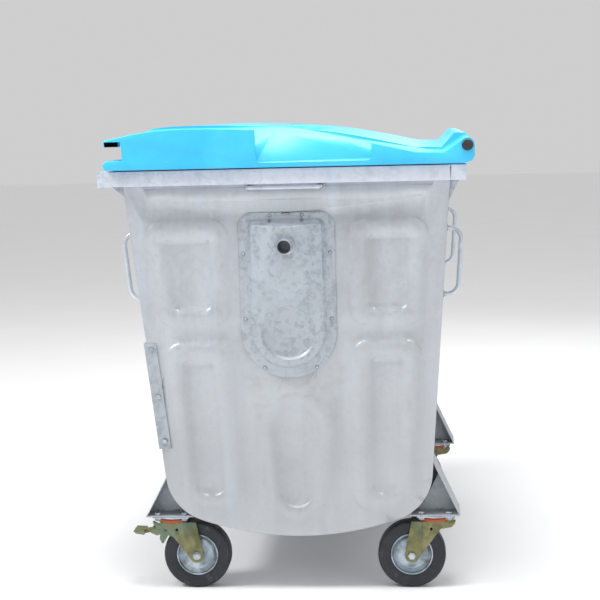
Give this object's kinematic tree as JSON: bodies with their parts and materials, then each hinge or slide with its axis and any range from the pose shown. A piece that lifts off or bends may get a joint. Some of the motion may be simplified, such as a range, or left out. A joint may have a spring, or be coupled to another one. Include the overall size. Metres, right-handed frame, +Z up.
{
  "type": "wheeled waste container",
  "caption": "Galvanised steel waste container on swivel casters with pressed side panels, lifting trunnions and a hinged domed plastic lid.",
  "frame": {"origin": "centre of the overall box's bottom, on the floor under the wheels", "axes": "+Z up, +X along the trunnion axis to the right side, -Y towards the front with the comb rail, +Y towards the lid's hinge"},
  "size_m": [1.37, 1.07, 1.3728],
  "materials": {
    "galvanised_steel": "hot-dip galvanised sheet with a fine spangle",
    "lid_plastic": "light blue moulded polyethylene, satin",
    "tyre_rubber": "black solid rubber",
    "wheel_disc": "zinc plated pressed steel",
    "yellow_zinc": "yellow passivated zinc on pressed steel",
    "bright_zinc": "bright zinc plated steel",
    "seal_plastic": "orange-brown plastic seal",
    "bearing_plastic": "dark grey plain bearing",
    "cap_plastic": "dark grey plastic cap",
    "plug_plastic": "black plastic plug"
  },
  "bodies": {
    "container": {"caster_bracket_front_left": "galvanised_steel", "caster_bracket_front_right": "galvanised_steel", "caster_bracket_rear_left": "galvanised_steel", "caster_bracket_rear_right": "galvanised_steel", "caster_plate_front_left": "bright_zinc", "caster_plate_front_right": "bright_zinc", "caster_plate_rear_left": "bright_zinc", "caster_plate_rear_right": "bright_zinc", "comb_rail": "galvanised_steel", "corner_guards": "galvanised_steel", "drain_plug": "plug_plastic", "drain_socket": "galvanised_steel", "frame_bolts": "bright_zinc", "front_handle_left": "galvanised_steel", "front_handle_right": "galvanised_steel", "hinge_brackets": "galvanised_steel", "hinge_caps": "cap_plastic", "hinge_rod": "bright_zinc", "hook_bars": "galvanised_steel", "mantle_sheet": "galvanised_steel", "rear_handle_left": "galvanised_steel", "rear_handle_right": "galvanised_steel", "rear_rail": "galvanised_steel", "rim_gussets": "galvanised_steel", "side_panel_left": "galvanised_steel", "side_panel_right": "galvanised_steel", "side_rail_left": "galvanised_steel", "side_rail_right": "galvanised_steel", "trunnion_plate_left": "galvanised_steel", "trunnion_plate_right": "galvanised_steel", "trunnion_rivets": "galvanised_steel", "trunnion_tube_left": "galvanised_steel", "trunnion_tube_right": "galvanised_steel"},
    "lid": {"lid": "lid_plastic"},
    "swivel_front_right": {"swivel_seal_front_right": "seal_plastic", "caster_fork_front_right": "yellow_zinc", "axle_bolt_front_right": "bright_zinc"},
    "wheel_front_right": {"hub_bearings_front_right": "bearing_plastic", "wheel_rim_front_right": "wheel_disc", "tyre_front_right": "tyre_rubber"},
    "swivel_front_left": {"swivel_seal_front_left": "seal_plastic", "caster_fork_front_left": "yellow_zinc", "axle_bolt_front_left": "bright_zinc"},
    "wheel_front_left": {"hub_bearings_front_left": "bearing_plastic", "wheel_rim_front_left": "wheel_disc", "tyre_front_left": "tyre_rubber"},
    "swivel_rear_right": {"swivel_seal_rear_right": "seal_plastic", "caster_fork_rear_right": "yellow_zinc", "axle_bolt_rear_right": "bright_zinc"},
    "wheel_rear_right": {"hub_bearings_rear_right": "bearing_plastic", "wheel_rim_rear_right": "wheel_disc", "tyre_rear_right": "tyre_rubber"},
    "swivel_rear_left": {"swivel_seal_rear_left": "seal_plastic", "caster_fork_rear_left": "yellow_zinc", "axle_bolt_rear_left": "bright_zinc"},
    "wheel_rear_left": {"hub_bearings_rear_left": "bearing_plastic", "wheel_rim_rear_left": "wheel_disc", "tyre_rear_left": "tyre_rubber"},
    "pedal_front_right": {"brake_pedal_front_right": "yellow_zinc"},
    "pedal_front_left": {"brake_pedal_front_left": "yellow_zinc"}
  },
  "joints": [
    {"name": "lid_hinge", "type": "hinge", "parent": "container", "child": "lid", "pos_m": [0, 0.515, 1.303], "axis": [-1, 0, 0], "range_deg": [0, 250]},
    {"name": "swivel_front_right", "type": "hinge", "parent": "container", "child": "swivel_front_right", "pos_m": [0.5, -0.368, 0.212], "axis": [0, 0, 1], "continuous": true},
    {"name": "wheel_spin_front_right", "type": "hinge", "parent": "swivel_front_right", "child": "wheel_front_right", "pos_m": [0.5, -0.298, 0.1], "axis": [1, 0, 0], "continuous": true},
    {"name": "brake_front_right", "type": "hinge", "parent": "swivel_front_right", "child": "pedal_front_right", "pos_m": [0.5, -0.392, 0.175], "axis": [1, 0, 0], "range_deg": [0, 9]},
    {"name": "swivel_front_left", "type": "hinge", "parent": "container", "child": "swivel_front_left", "pos_m": [-0.5, -0.368, 0.212], "axis": [0, 0, 1], "continuous": true},
    {"name": "wheel_spin_front_left", "type": "hinge", "parent": "swivel_front_left", "child": "wheel_front_left", "pos_m": [-0.5, -0.298, 0.1], "axis": [1, 0, 0], "continuous": true},
    {"name": "brake_front_left", "type": "hinge", "parent": "swivel_front_left", "child": "pedal_front_left", "pos_m": [-0.5, -0.392, 0.175], "axis": [1, 0, 0], "range_deg": [0, 9]},
    {"name": "swivel_rear_right", "type": "hinge", "parent": "container", "child": "swivel_rear_right", "pos_m": [0.5, 0.411, 0.212], "axis": [0, 0, 1], "continuous": true},
    {"name": "wheel_spin_rear_right", "type": "hinge", "parent": "swivel_rear_right", "child": "wheel_rear_right", "pos_m": [0.5, 0.341, 0.1], "axis": [1, 0, 0], "continuous": true},
    {"name": "swivel_rear_left", "type": "hinge", "parent": "container", "child": "swivel_rear_left", "pos_m": [-0.5, 0.411, 0.212], "axis": [0, 0, 1], "continuous": true},
    {"name": "wheel_spin_rear_left", "type": "hinge", "parent": "swivel_rear_left", "child": "wheel_rear_left", "pos_m": [-0.5, 0.341, 0.1], "axis": [1, 0, 0], "continuous": true}
  ]
}
